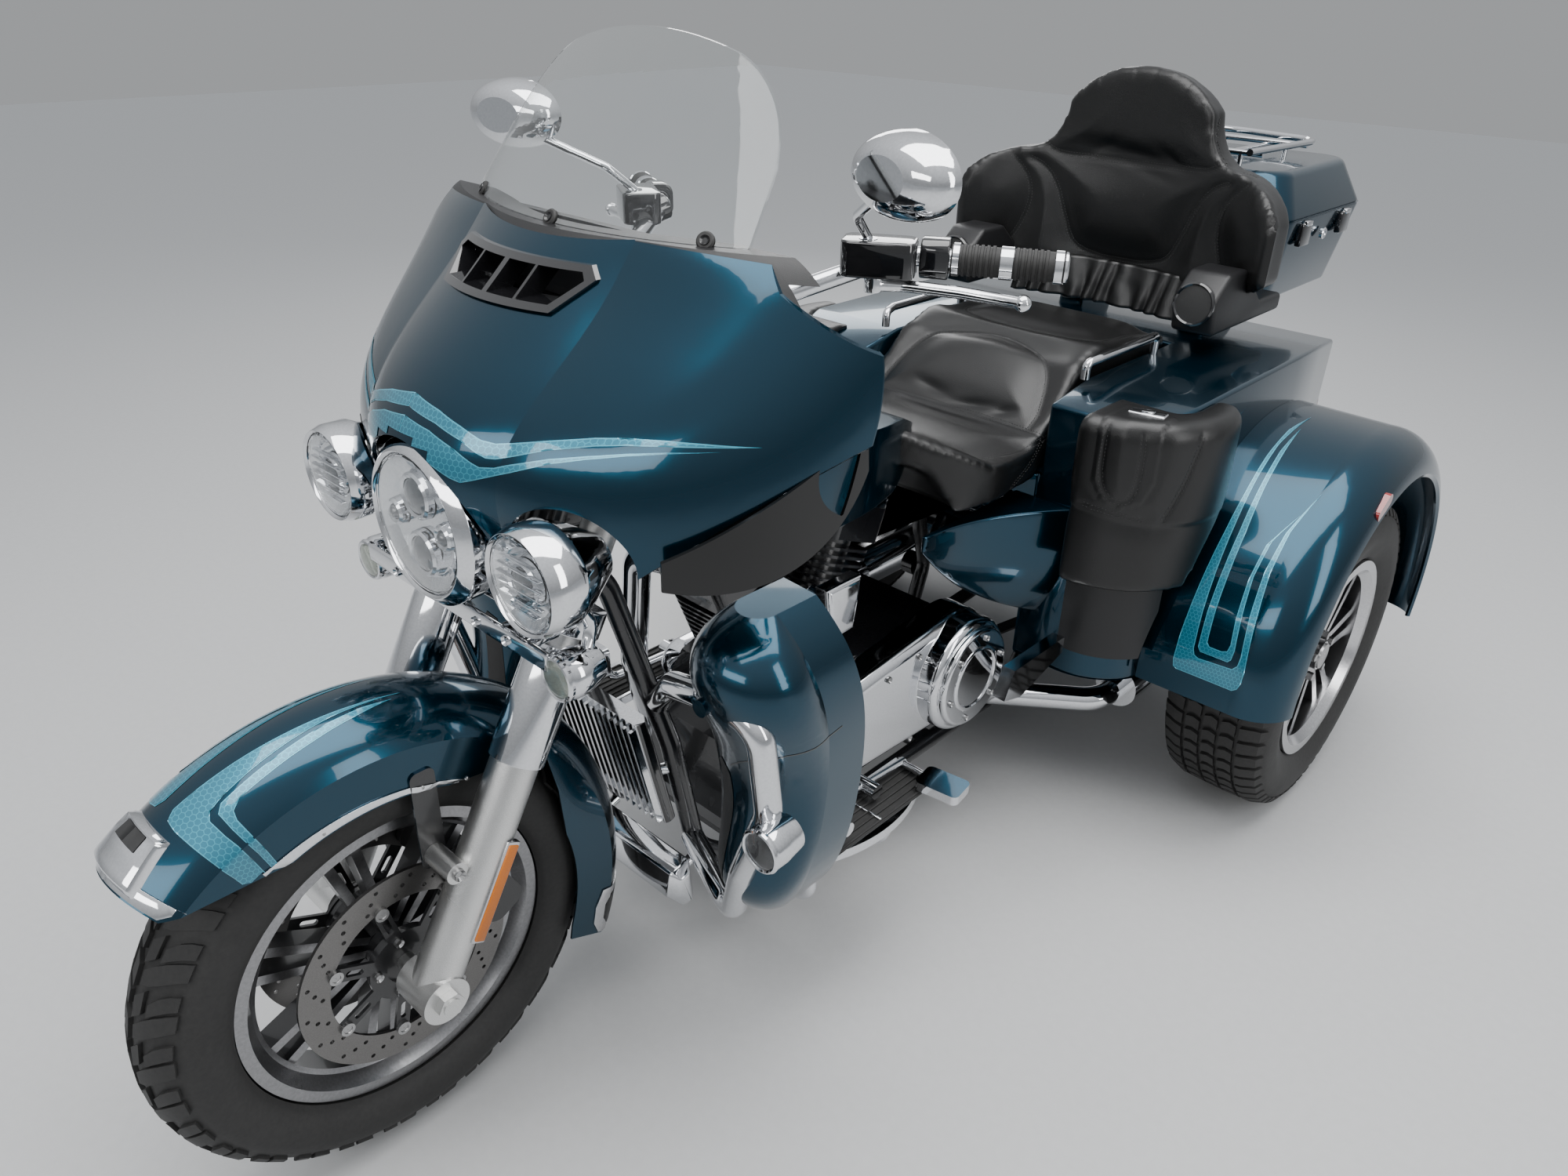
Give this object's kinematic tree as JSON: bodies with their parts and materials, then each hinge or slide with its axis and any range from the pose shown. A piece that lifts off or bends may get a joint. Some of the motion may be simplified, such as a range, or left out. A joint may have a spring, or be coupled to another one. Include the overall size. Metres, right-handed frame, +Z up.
{
  "type": "motorized touring trike",
  "caption": "Motorized touring trike with a steered front wheel, fork-mounted fairing, low seat, wide rear body over driven wheels, rear trunk and lidded top box.",
  "frame": {"origin": "on the ground under the middle of the bounding box", "axes": "+Z up, front towards -Y, +X towards the machine's left side"},
  "size_m": [1.39, 2.67, 1.4299],
  "materials": {
    "body_paint": "metallic gloss",
    "black_paint": "satin",
    "chrome": "polished",
    "aluminium": "satin",
    "steel": "brushed",
    "wheel_metal": "machined",
    "tyre": "matte",
    "rubber": "matte",
    "black_plastic": "grained",
    "gloss_black": "gloss",
    "leather": "grained",
    "clear_sheet": "clear",
    "lamp_glass": "clear",
    "smoked_sheet": "smoked",
    "red_lens": "gloss"
  },
  "bodies": {
    "chassis": {"frame": "black_paint", "engine_case": "aluminium", "cylinders": "black_paint", "rocker_covers": "chrome", "primary_cover": "chrome", "engine_covers": "chrome", "exhaust": "chrome", "rear_axle": "black_paint", "drive_belt": "rubber", "rear_body": "body_paint", "rear_fenders": "body_paint", "fender_pouches": "leather", "body_grilles": "black_plastic", "shocks": "steel", "topbox_tub": "body_paint", "backrest": "leather", "speaker_pods": "black_plastic", "seat": "leather", "fuel_tank": "body_paint", "tank_console": "black_paint", "side_panels": "body_paint", "grab_rails": "chrome", "tail_lamps": "red_lens", "engine_guard": "chrome", "lower_fairings": "body_paint", "footboards": "chrome", "foot_controls": "chrome", "oil_cooler": "black_paint", "chin_cover": "chrome"},
    "steering": {"fork_legs": "aluminium", "fork_covers": "chrome", "triple_clamps": "aluminium", "front_fender": "body_paint", "brake_calipers": "black_paint", "lamp_shells": "chrome", "lamp_lenses": "lamp_glass", "fairing_outer": "body_paint", "fairing_inner": "black_plastic", "fairing_vent": "gloss_black", "windshield": "clear_sheet", "handlebar": "black_paint", "grips": "rubber", "hand_controls": "black_plastic", "levers": "black_paint", "mirrors": "chrome", "wind_deflectors": "smoked_sheet"},
    "front_wheel": {"front_tyre": "tyre", "front_rim": "wheel_metal", "brake_discs": "steel"},
    "rear_wheel_left": {"rear_tyre_left": "tyre", "rear_rim_left": "wheel_metal"},
    "rear_wheel_right": {"rear_tyre_right": "tyre", "rear_rim_right": "wheel_metal"},
    "lid": {"topbox_lid": "body_paint", "luggage_rack": "chrome"},
    "door": {"trunk_door": "body_paint"}
  },
  "joints": [
    {"name": "steering_turn", "type": "hinge", "parent": "chassis", "child": "steering", "pos_m": [0, -0.62628, 1], "axis": [0, 0.4384, 0.8988], "range_deg": [-30, 30]},
    {"name": "front_wheel_spin", "type": "hinge", "parent": "steering", "child": "front_wheel", "pos_m": [0, -1.015, 0.32], "axis": [1, 0, 0], "continuous": true},
    {"name": "rear_wheel_left_spin", "type": "hinge", "parent": "chassis", "child": "rear_wheel_left", "pos_m": [0.566, 0.655, 0.324], "axis": [1, 0, 0], "continuous": true},
    {"name": "rear_wheel_right_spin", "type": "hinge", "parent": "chassis", "child": "rear_wheel_right", "pos_m": [-0.566, 0.655, 0.324], "axis": [1, 0, 0], "continuous": true},
    {"name": "lid_open", "type": "hinge", "parent": "chassis", "child": "lid", "pos_m": [-0.308, 1.1, 1.072], "axis": [0, -1, 0], "range_deg": [0, 75]},
    {"name": "door_open", "type": "hinge", "parent": "chassis", "child": "door", "pos_m": [0, 1.2165, 0.43], "axis": [-1, 0, 0], "range_deg": [0, 85]}
  ]
}
